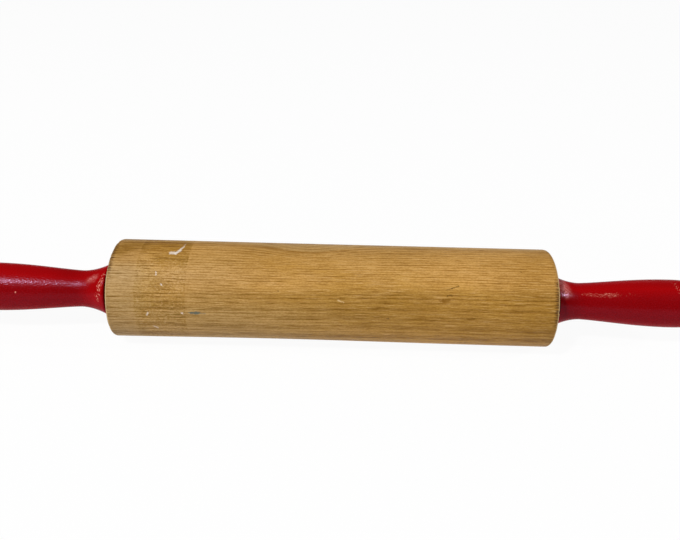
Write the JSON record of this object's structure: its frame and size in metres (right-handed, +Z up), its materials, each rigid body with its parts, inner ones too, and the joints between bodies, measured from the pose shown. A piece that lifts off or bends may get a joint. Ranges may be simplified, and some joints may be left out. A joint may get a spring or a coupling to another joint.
{
  "type": "rolling pin",
  "caption": "Turned wooden rolling pin: a varnished barrel that spins freely on a steel axle between red painted handles with a flared base, a slim neck and a rounded end.",
  "frame": {"origin": "centre of the barrel, on the axis it turns about", "axes": "+X along the pin to the right as in the picture, +Z up with the pin lying on a table, -Y towards the person who uses it"},
  "size_m": [0.4374, 0.0574, 0.0576],
  "materials": {
    "barrel_wood": "worn satin varnish over straight-grained pale hardwood",
    "painted_wood": "old red gloss paint on wood, scuffed and chipped",
    "steel": "plain turned steel, slightly dull"
  },
  "bodies": {
    "handles": {"axle_rod": "steel", "left_handle": "painted_wood", "right_handle": "painted_wood", "left_thrust_washer": "steel", "right_thrust_washer": "steel", "left_clamp_washer": "steel", "right_clamp_washer": "steel", "left_nut": "steel", "right_nut": "steel", "left_end_plug": "painted_wood", "right_end_plug": "painted_wood"},
    "barrel": {"barrel": "barrel_wood", "left_bush": "steel", "right_bush": "steel"}
  },
  "joints": [
    {"name": "barrel_spin", "type": "hinge", "parent": "handles", "child": "barrel", "pos_m": [0, 0, 0], "axis": [1, 0, 0], "continuous": true}
  ]
}
